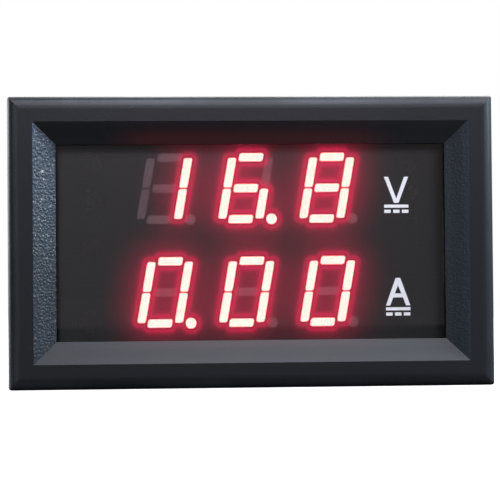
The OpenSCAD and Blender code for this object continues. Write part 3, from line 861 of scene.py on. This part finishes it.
@dataclass(frozen=True)
class Metal:
    """Plated, drawn or cast metal with streaks and a tarnish that varies."""

    name: str
    colour: Colour
    tarnish: Colour
    roughness: float = 0.28
    scale: float = 2500.0
    stretch: float = 0.06
    relief_mm: float = 0.008
    tarnished: float = 0.7
    dulled: float = 0.14
    uneven: float = 0.06

    def make(self) -> Material:
        """Builds the material.

        Returns:
            The finished material.
        """
        p = Paint(self.name)
        streak = p.group(KIT.drawn, Scale=self.scale, Stretch=self.stretch)
        soil = p.group(KIT.soil, Scale=500.0, Specks=3500.0)
        dull = p.times(soil["Clouds"], self.tarnished)
        glossy, matt = self.roughness - self.uneven, self.roughness + self.uneven
        rough = p.plus(
            p.remap(streak["Tone"], 0.0, 1.0, glossy, matt), p.times(dull, self.dulled)
        )
        p.set(
            Base_Color=p.blend(dull, self.colour, self.tarnish),
            Roughness=rough,
            Metallic=1.0,
        )
        p.relief(streak["Height"], self.relief_mm)
        return p.material


BRASS, DARK_BRASS = (0.78, 0.58, 0.26), (0.50, 0.36, 0.17)
COPPER, DARK_COPPER = (0.64, 0.42, 0.28), (0.36, 0.22, 0.15)
SOLDER, DULL_SOLDER = (0.74, 0.75, 0.77), (0.46, 0.47, 0.50)
TIN, DULL_TIN = (0.72, 0.72, 0.73), (0.52, 0.52, 0.53)
ALUMINIUM, DULL_ALUMINIUM = (0.62, 0.63, 0.64), (0.48, 0.49, 0.50)

FINISHES = {
    "case_plastic": CaseGrain(),
    "smoked_window": Smoked(),
    "lit_segment": LitPipe(),
    "unlit_segment": DimPipe(),
    "board_laminate": Laminate(),
    "display_plastic": Moulded(
        "module_face", (0.030, 0.024, 0.027), roughness=0.55, grain_scale=5000, grain_mm=0.006
    ),
    "package_black": Moulded(
        "moulded_epoxy", (0.022, 0.022, 0.024), roughness=0.56, grain_scale=5200, grain_mm=0.012
    ),
    "resistor_glaze": Moulded(
        "black_glaze", (0.018, 0.018, 0.022), roughness=0.22, grain_scale=2500, grain_mm=0.004,
        coat=0.5,
    ),
    "capacitor_ceramic": Moulded(
        "tan_ceramic", (0.36, 0.235, 0.14), roughness=0.44, grain_scale=5000, grain_mm=0.006
    ),
    "trimmer_plastic": Moulded(
        "pale_resin", (0.60, 0.61, 0.56), roughness=0.36, grain_scale=3000, grain_mm=0.006,
        tone=0.1,
    ),
    "header_nylon": Moulded(
        "white_nylon", (0.74, 0.71, 0.62), roughness=0.42, grain_scale=3600, grain_mm=0.008,
        tone=0.08,
    ),
    "solder": Metal("solder_joint", SOLDER, DULL_SOLDER, 0.22, scale=1800, stretch=1.0),
    "tinned_metal": Metal("tin_plate", TIN, DULL_TIN, 0.3),
    "can_aluminium": Metal(
        "drawn_can", ALUMINIUM, DULL_ALUMINIUM, 0.38, scale=2200, stretch=0.04
    ),
    "rotor_metal": Metal("rotor_brass", BRASS, DARK_BRASS, 0.3, scale=2600, stretch=1.0),
    "shunt_alloy": Metal("shunt_wire", COPPER, DARK_COPPER, 0.34, scale=2400, stretch=0.05),
}


@dataclass(frozen=True)
class Ink:
    """Screen-printed ink: slightly thin in places."""

    name: str
    colour: Colour
    roughness: float = 0.5
    painted_glow: float = 0.0
    thin: float = 0.8
    grain_scale: float = 5000.0
    grain_mm: float = 0.004

    def make(self) -> Material:
        """Builds the material; its painted glow brightens it a little.

        Returns:
            The finished material.
        """
        p = Paint(self.name)
        height = p.group(KIT.grain, Scale=self.grain_scale)["Height"]
        p.set(
            Base_Color=p.blend(height, shade(self.colour, self.thin), self.colour),
            Roughness=self.roughness,
            # Painted glow: the ink's own emission brightens it.
            Emission_Color=self.colour,
            Emission_Strength=self.painted_glow,
        )
        p.relief(height, self.grain_mm)
        return p.material


# ------------------------------------------------------------- mesh tools


def add_object(name: str, data: bpy.types.ID) -> bpy.types.Object:
    """Puts new data into the scene.

    Args:
        name: Name of the object.
        data: Its mesh, light or camera.

    Returns:
        The new object, at the origin.
    """
    thing = bpy.data.objects.new(name, data)
    bpy.context.scene.collection.objects.link(thing)
    return thing


def add_mesh(name: str, mesh: Mesh, material: Material) -> bpy.types.Object:
    """Turns a bmesh into an object at the origin.

    Args:
        name: Name of the object.
        mesh: Its finished bmesh, which is freed.
        material: Its finish.

    Returns:
        The new object.
    """
    data = bpy.data.meshes.new(name)
    mesh.to_mesh(data)
    mesh.free()
    data.materials.append(material)
    return add_object(name, data)


def place_piece(
    name: str, mesh: Mesh, material: Material
) -> bpy.types.Object:
    """Makes a piece from a bmesh and rides it on the case.

    Args:
        name: Name of the piece.
        mesh: Its finished bmesh, which is freed.
        material: Its finish.

    Returns:
        The new object.
    """
    piece = add_mesh(name, mesh, material)
    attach(piece, "case")
    LOG.info("%s: %d faces", name, len(piece.data.polygons))
    return piece


@dataclass
class Sketch:
    """A bmesh that collects thin prints, drawn in x and z on one plane."""

    name: str
    plane: float
    thickness: float
    facing: float = -1.0
    mesh: Mesh = field(default_factory=bmesh.new)

    def patch(self, corners: Iterable[Span]) -> None:
        """Adds one flat outline.

        Args:
            corners: Corners as (x, z), in metres.
        """
        self.mesh.faces.new([self.mesh.verts.new((x, self.plane, z)) for x, z in corners])

    def bar(self, x0: float, x1: float, z0: float, z1: float) -> None:
        """Adds an upright rectangle."""
        self.patch([(x0, z0), (x1, z0), (x1, z1), (x0, z1)])

    def outline(self, x0: float, x1: float, z0: float, z1: float, width: float) -> None:
        """Adds a rectangular frame of four bars.

        Args:
            x0: Its left side.
            x1: Its right side.
            z0: Its foot.
            z1: Its top.
            width: Width of the bars.
        """
        self.bar(x0, x1, z0, z0 + width)
        self.bar(x0, x1, z1 - width, z1)
        self.bar(x0, x0 + width, z0 + width, z1 - width)
        self.bar(x1 - width, x1, z0 + width, z1 - width)

    def finish(self, material: Material, slot: str) -> bpy.types.Object:
        """Thickens the sketch into a piece that rides on the case.

        Args:
            material: Its finish.
            slot: The record's slot that the finish belongs to; not used.

        Returns:
            The new object.
        """
        bmesh.ops.remove_doubles(self.mesh, verts=self.mesh.verts, dist=WELD)
        raised = bmesh.ops.extrude_face_region(self.mesh, geom=list(self.mesh.faces))
        moved = [v for v in raised["geom"] if isinstance(v, bmesh.types.BMVert)]
        rise = (0, self.facing * self.thickness, 0)
        bmesh.ops.translate(self.mesh, verts=moved, vec=rise)
        bmesh.ops.recalc_face_normals(self.mesh, faces=self.mesh.faces)
        return place_piece(self.name, self.mesh, material)


# ---------------------------------------------------------- sub-assemblies


class Dresser:
    """Gives every CAD node the finish of its material slot."""

    def __init__(self) -> None:
        """Builds each finish once."""
        self.materials = {slot: finish.make() for slot, finish in FINISHES.items()}

    def dress(self) -> None:
        """Assigns the finishes to the nodes' material slots."""
        for part in frame["record"]["subparts"]:
            node = frame["nodes"][part["node"]]
            material = self.materials[part["material_slot"]]
            if not node.material_slots:
                node.data.materials.append(material)
            for slot in node.material_slots:
                slot.material = material
            LOG.info("%s: %s", part["node"], material.name)


@dataclass
class WindowMarks:
    """The unit letters printed on the window, each over its current sign."""

    thickness: float = 0.02 * MM
    volt_x: float = 14.48 * MM
    volt_z: Span = (3.80 * MM, 6.40 * MM)
    amp_x: float = 14.56 * MM
    amp_z: Span = (-6.43 * MM, -3.69 * MM)
    half_width: float = 1.22 * MM
    limb: float = 0.42 * MM
    tip: float = 0.23 * MM
    volt_notch: float = 0.42 * MM
    amp_counter: float = 0.72 * MM
    amp_bar: Span = (0.80 * MM, 1.20 * MM)
    sign_gap: float = 0.18 * MM
    bar_h: float = 0.31 * MM
    dash_gap: float = 0.20 * MM
    dash_h: float = 0.32 * MM
    dash_w: float = 0.65 * MM
    dash_pitch: float = 0.885 * MM
    ink: Ink = Ink("window_ink", (0.90, 0.88, 0.90), painted_glow=0.2)

    def build(self) -> None:
        """Builds both marks in white ink on the window's front face."""
        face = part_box("lens")[0].y
        ink = self.ink.make()
        for name, letter, x, low in (
            ("volt_mark", self._volt, self.volt_x, self.volt_z[0]),
            ("amp_mark", self._amp, self.amp_x, self.amp_z[0]),
        ):
            sketch = Sketch(name, face, self.thickness)
            letter(sketch)
            self._current_sign(sketch, x, low)
            sketch.finish(ink, "smoked_window")

    def _volt(self, sketch: Sketch) -> None:
        """Draws a V as one outline.

        Args:
            sketch: The mark that it belongs to.
        """
        x, (low, high) = self.volt_x, self.volt_z
        half, inner = self.half_width, self.half_width - self.limb
        sketch.patch([
            (x - half, high), (x - self.tip, low), (x + self.tip, low), (x + half, high),
            (x + inner, high), (x, low + self.volt_notch), (x - inner, high),
        ])

    def _amp(self, sketch: Sketch) -> None:
        """Draws an A as two halves that join along its middle.

        Args:
            sketch: The mark that it belongs to.
        """
        x, (low, high) = self.amp_x, self.amp_z
        inner = self.half_width - self.limb
        counter = high - self.amp_counter
        bar_low, bar_high = (low + level for level in self.amp_bar)
        for side in (-1, 1):
            at_low, at_high = (
                x + side * inner * (counter - level) / (counter - low)
                for level in (bar_low, bar_high)
            )
            sketch.patch([
                (x, high), (x + side * self.tip, high), (x + side * self.half_width, low),
                (x + side * inner, low), (at_low, bar_low), (x, bar_low), (x, bar_high),
                (at_high, bar_high), (x, counter),
            ])

    def _current_sign(self, sketch: Sketch, x: float, low: float) -> None:
        """Draws the bar over three dashes.

        Args:
            sketch: The mark that it belongs to.
            x: Middle of the mark.
            low: Foot of the letter above it.
        """
        top = low - self.sign_gap
        sketch.bar(x - self.half_width, x + self.half_width, top - self.bar_h, top)
        dash_top = top - self.bar_h - self.dash_gap
        half = self.dash_w / 2
        for k in (-1, 0, 1):
            middle = x + k * self.dash_pitch
            sketch.bar(middle - half, middle + half, dash_top - self.dash_h, dash_top)


@dataclass
class GlowFilm:
    """Film between the window and the modules, with painted glow around what is lit."""

    thickness: float = 0.03 * MM
    clearance: float = 0.05 * MM
    overhang: float = 2.4 * MM
    edge: float = 0.1 * MM
    cell: float = 0.085 * MM
    hot: float = 0.12 * MM
    spread: float = 1.6 * MM
    spread_reach: int = 4
    pinch: float = 0.12 * MM
    pinch_depth: float = 0.09 * MM
    dark_mm: float = 9.0

    def build(self, material: Material) -> None:
        """Builds the film and stores how far and how deep each point is in the light.

        Args:
            material: The halo finish, which reads both.
        """
        mesh = bmesh.new()
        distance = mesh.verts.layers.float.new("lit_distance")
        glow = mesh.verts.layers.float.new("lit_glow")
        grid = self._sheet(mesh)
        verts = sorted(mesh.verts, key=lambda v: (round(v.co.z / self.cell, 1), v.co.x))
        away = self._distances(np.array([(v.co.x, v.co.z) for v in verts]))
        levels = self._scatter(away.reshape(grid) < self.hot / MM).ravel()
        for vert, gap, level in zip(verts, away, levels):
            vert[distance], vert[glow] = float(gap), float(level)
        self._close(mesh, distance, glow)
        # The film's glow is painted light: emission around the lit segments.
        place_piece("glow_film", mesh, material)

    def _sheet(self, mesh: Mesh) -> tuple[int, int]:
        """Lays the front sheet over both modules.

        Args:
            mesh: The empty film.

        Returns:
            Its rows and columns of points.
        """
        low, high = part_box("lower_display")[0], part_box("upper_display")[1]
        left, right = low.x - self.overhang, high.x + self.overhang
        foot, head = low.z - self.edge, high.z + self.edge
        front = low.y - self.clearance - self.thickness
        nx, nz = (round(span / self.cell) for span in (right - left, head - foot))
        upright = Matrix.Rotation(math.pi / 2, 3, "X")
        middle = ((left + right) / 2, front, (foot + head) / 2)
        verts = mesh.verts
        bmesh.ops.create_grid(mesh, x_segments=nx, y_segments=nz, size=0.5)
        bmesh.ops.scale(mesh, verts=verts, vec=(right - left, head - foot, 1))
        bmesh.ops.rotate(mesh, verts=verts, cent=(0, 0, 0), matrix=upright)
        bmesh.ops.translate(mesh, verts=verts, vec=middle)
        return nz + 1, nx + 1

    def _close(
        self, mesh: Mesh, distance: bmesh.types.BMLayerItem, glow: bmesh.types.BMLayerItem
    ) -> None:
        """Gives the film its thickness; its sides and back stay dark.

        Args:
            mesh: The front sheet.
            distance: Layer of the distance to the lit outlines.
            glow: Layer of the glow.
        """
        rim = [edge for edge in mesh.edges if edge.is_boundary]
        walls = bmesh.ops.extrude_edge_only(mesh, edges=rim)["geom"]
        back = [v for v in walls if isinstance(v, bmesh.types.BMVert)]
        bmesh.ops.translate(mesh, verts=back, vec=(0, self.thickness, 0))
        for vert in back:
            vert[distance], vert[glow] = self.dark_mm, 0.0
        bmesh.ops.holes_fill(mesh, edges=[edge for edge in mesh.edges if edge.is_boundary])
        bmesh.ops.recalc_face_normals(mesh, faces=mesh.faces)

    def _scatter(self, lit: np.ndarray) -> np.ndarray:
        """Blurs a grid of lit cells into the painted wide glow.

        Args:
            lit: Whether each cell is lit.

        Returns:
            Light in each cell, from 0 to 1.
        """
        reach = int(self.spread_reach * self.spread / self.cell)
        steps = np.arange(-reach, reach + 1) * self.cell / self.spread
        taps = np.exp(-0.5 * steps ** 2)
        taps /= taps.sum()
        level = lit.astype(float)
        for axis in (0, 1):
            padded = np.moveaxis(np.pad(level, reach), axis, 0)
            size = level.shape[axis]
            level = sum(tap * padded[k:k + size] for k, tap in enumerate(taps))
            level = np.moveaxis(level, 0, axis)
            level = level[:, reach:-reach] if axis == 0 else level[reach:-reach]
        return level

    def _distances(self, points: np.ndarray) -> np.ndarray:
        """Distance in millimetres from the lit outlines, below 0 inside.

        Between two pipes the distance is raised, so the dark gap stays open.

        Args:
            points: Points as (x, z), in metres.

        Returns:
            One distance for each point.
        """
        pipes = [frame["nodes"][f"{row.value}_lit_segments"] for row in Row]
        outlines = [outline for node in pipes for outline in self._outlines(node)]
        nearest = np.stack([self._distance(points, outline) for outline in outlines])
        first, second = np.partition(nearest, 1, axis=0)[:2]
        between = np.clip(1 - (second - first) / self.pinch, 0, 1) * (first > 0)
        return (first + between * self.pinch_depth) / MM

    @staticmethod
    def _distance(points: np.ndarray, outline: np.ndarray) -> np.ndarray:
        """Measures how far points lie from one closed outline.

        Args:
            points: Points as (x, z), in metres.
            outline: Corners of the outline, likewise.

        Returns:
            One distance in metres for each point, below 0 inside.
        """
        nearest = np.full(len(points), np.inf)
        crossings = np.zeros(len(points), int)
        for start, along in zip(outline, np.roll(outline, -1, axis=0) - outline):
            rel = points - start
            share = np.clip(rel @ along / (along @ along), 0, 1)
            nearest = np.minimum(nearest, np.hypot(*(rel - share[:, None] * along).T))
            if along[1] != 0:
                rise = rel[:, 1] / along[1]
                crossings += (rise >= 0) & (rise < 1) & (rise * along[0] > rel[:, 0])
        return np.where(crossings % 2 == 1, -nearest, nearest)

    @staticmethod
    def _outlines(node: bpy.types.Object) -> list[np.ndarray]:
        """Follows the free edges of a node's front faces round each light pipe.

        Args:
            node: The light pipes.

        Returns:
            The outlines, each as points in x and z.
        """
        digits, flush = 7, 1e-6
        front = min(v.co.y for v in node.data.vertices)
        edges: dict[tuple, tuple] = {}
        for face in node.data.polygons:
            corners = [node.data.vertices[k].co for k in face.vertices]
            if max(c.y for c in corners) > front + flush:
                continue
            flat = [(round(c.x, digits), round(c.z, digits)) for c in corners]
            for a, b in zip(flat, flat[1:] + flat[:1]):
                if edges.pop((b, a), None) is None:
                    edges[(a, b)] = (a, b)
        after = dict(edges.values())
        outlines = []
        while after:
            start, point = after.popitem()
            outline = [start]
            while point != start:
                outline.append(point)
                point = after.pop(point)
            outlines.append(np.array(outline))
        return outlines


@dataclass
class BoardLegend:
    """White legend on the board's rear: outlines of some parts, and a plus."""

    line: float = 0.16 * MM
    margin: float = 0.28 * MM
    thickness: float = 0.015 * MM
    plus_aside: float = 0.95 * MM
    plus_down: float = 0.6 * MM
    plus_arm: float = 0.45 * MM
    outlined: tuple[str, ...] = (
        "signal_header", "current_header", "voltage_trimmer_body", "current_trimmer_body",
        "filter_capacitor_base", "diode_body",
    )
    ink: Ink = Ink("legend_ink", (0.72, 0.73, 0.70))

    def build(self) -> None:
        """Builds the legend as one piece."""
        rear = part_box("circuit_board")[1].y
        sketch = Sketch("board_legend", rear, self.thickness, facing=1.0)
        for node in self.outlined:
            low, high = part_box(node)
            m = self.margin
            sketch.outline(low.x - m, high.x + m, low.z - m, high.z + m, self.line)
        self._plus(sketch)
        sketch.finish(self.ink.make(), "board_laminate")

    def _plus(self, sketch: Sketch) -> None:
        """Draws a plus beside the filter capacitor.

        Args:
            sketch: The legend.
        """
        low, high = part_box("filter_capacitor_base")
        x, z = low.x - self.plus_aside, high.z - self.plus_down
        arm, half = self.plus_arm, self.line / 2
        sketch.bar(x - arm, x + arm, z - half, z + half)
        sketch.bar(x - half, x + half, z + half, z + arm)
        sketch.bar(x - half, x + half, z - arm, z - half)


# ------------------------------------------------------------------ studio


@dataclass(frozen=True)
class SoftBox:
    """A square area light that faces the object."""

    name: str
    place: tuple[float, float, float]
    size: float
    watts: float
    colour: Colour = (0.96, 0.97, 1.0)

    def hang(self) -> None:
        """Adds the light to the scene."""
        data = bpy.data.lights.new(self.name, "AREA")
        data.size = self.size
        data.energy = self.watts
        data.color = self.colour
        light = add_object(self.name, data)
        light.location = self.place
        light.rotation_euler = (-Vector(self.place)).to_track_quat("-Z", "Y").to_euler()


@dataclass(frozen=True)
class Viewpoint:
    """The camera, close in front of the meter and turned a little to its right."""

    eye_mm: tuple[float, float, float] = (-11.39, -182.0, -4.78)
    pitch: float = 0.022
    roll: float = 0.009
    yaw: float = -0.062
    focal_px: float = 1825.5
    frame_px: int = 500
    sensor_mm: float = 36.0
    clip_start: float = 0.005

    def stand(self) -> None:
        """Adds the camera and makes it the scene's own."""
        tip, nod = self._turn(2, 0, self.roll), self._turn(1, 2, self.pitch)
        view = tip @ nod @ self._turn(0, 1, self.yaw)
        pose = Matrix((view[0], view[2], -view[1])).transposed().to_4x4()
        pose.translation = Vector(self.eye_mm) * MM
        data = bpy.data.cameras.new("camera")
        data.sensor_width = self.sensor_mm
        data.lens = self.focal_px * self.sensor_mm / self.frame_px
        data.clip_start = self.clip_start
        camera = add_object("camera", data)
        camera.matrix_world = pose
        bpy.context.scene.camera = camera

    @staticmethod
    def _turn(first: int, second: int, angle: float) -> Matrix:
        """Makes a rotation in the plane of two axes.

        Args:
            first: Number of the axis that it starts from.
            second: Number of the axis that it turns towards.
            angle: How far, in radians.

        Returns:
            The rotation of the axes.
        """
        turn = Matrix.Identity(3)
        turn[first][first] = turn[second][second] = math.cos(angle)
        turn[first][second], turn[second][first] = math.sin(angle), -math.sin(angle)
        return turn


@dataclass(frozen=True)
class Floor:
    """A pale floor under the flange, bright to the camera and dark to all else."""

    half: float = 2.0
    pale: Colour = (0.42, 0.42, 0.43)
    dark: Colour = (0.12, 0.12, 0.125)
    roughness: float = 0.8
    glow: float = 0.93

    def lay(self) -> None:
        """Adds the floor."""
        p = Paint("pale_floor")
        p.set(
            Base_Color=self.pale,
            Roughness=self.roughness,
            Emission_Color=(1.0, 1.0, 1.0),
            Emission_Strength=self.glow,
        )
        cloth = p.add("BsdfDiffuse", {"Color": self.dark})
        seen = p.add("LightPath").outputs["Is Camera Ray"]
        mix = p.add("MixShader", {0: seen, 1: cloth.outputs[0], 2: p.bsdf.outputs[0]})
        p.feed(p.tree.nodes["Material Output"].inputs[0], mix.outputs[0])
        mesh = bmesh.new()
        level = (0, 0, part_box("housing")[0].z)
        bmesh.ops.create_grid(mesh, x_segments=1, y_segments=1, size=self.half)
        bmesh.ops.translate(mesh, verts=mesh.verts, vec=level)
        floor = add_mesh("floor", mesh, p.material)


@dataclass(frozen=True)
class Room:
    """The world: white to the camera, else a room that is brighter to the rear."""

    wall: Colour = (1.0, 1.0, 1.0)
    colour: Colour = (0.92, 0.93, 1.0)
    low: float = 0.01
    high: float = 0.35
    rise: Span = (-0.1, 0.6)

    def light(self) -> None:
        """Builds the world; rays that passed through the window get nothing."""
        world = bpy.data.worlds.new("studio")
        world.use_nodes = True
        bpy.context.scene.world = world
        g = Graph(world.node_tree)
        aim = g.add("TexCoord").outputs["Generated"]
        depth = g.add("SeparateXYZ", {"Vector": aim}).outputs["Y"]
        path = g.add("LightPath").outputs
        around = g.minus(1.0, path["Is Transmission Ray"])
        bright = g.times(g.remap(depth, *self.rise, self.low, self.high), around)
        room = g.tree.nodes["Background"]
        g.feed(room.inputs["Color"], self.colour)
        g.feed(room.inputs["Strength"], bright)
        wall = g.add("Background", {"Color": self.wall, "Strength": 1.0})
        ends = {0: path["Is Camera Ray"], 1: room.outputs[0], 2: wall.outputs[0]}
        mix = g.add("MixShader", ends)
        g.feed(g.tree.nodes["World Output"].inputs[0], mix.outputs[0])


@dataclass(frozen=True)
class Studio:
    """All that is around the object: camera, floor, room and soft boxes."""

    camera: Viewpoint = Viewpoint()
    floor: Floor = Floor()
    room: Room = Room()
    boxes: tuple[SoftBox, ...] = (
        SoftBox("top_box", (0.05, -0.085, 0.205), 0.18, 0.30, (0.84, 0.92, 1.0)),
        SoftBox("near_box", (0.0, -0.045, 0.052), 0.06, 0.029, (0.90, 0.84, 1.0)),
        SoftBox("right_box", (0.115, -0.018, 0.062), 0.05, 0.24, (0.74, 0.88, 1.0)),
        SoftBox("left_box", (-0.13, -0.17, 0.03), 0.06, 0.048, (0.86, 0.98, 1.0)),
        SoftBox("front_box", (0.018, -0.30, 0.008), 0.17, 0.026, (1.0, 0.92, 0.96)),
        SoftBox("rear_box", (0.12, 0.28, 0.24), 0.30, 1.5),
        SoftBox("rear_fill", (-0.28, 0.20, 0.06), 0.22, 0.7),
    )

    def build(self) -> None:
        """Builds everything around the object."""
        self.camera.stand()
        self.floor.lay()
        self.room.light()
        for box in self.boxes:
            box.hang()
        bpy.context.scene.view_settings.view_transform = "Standard"


def corners(box: Sequence[Vector]) -> list[list[float]]:
    """Writes a box as plain lists of numbers."""
    return [[float(v) for v in corner] for corner in box]


def main() -> None:
    """Builds the studio and dresses the meter, piece by piece."""
    logging.basicConfig(level=logging.INFO, format="%(name)s %(message)s")
    Studio().build()
    Dresser().dress()
    WindowMarks().build()
    GlowFilm().build(Halo().make())
    BoardLegend().build()


if __name__ == "__main__":
    main()
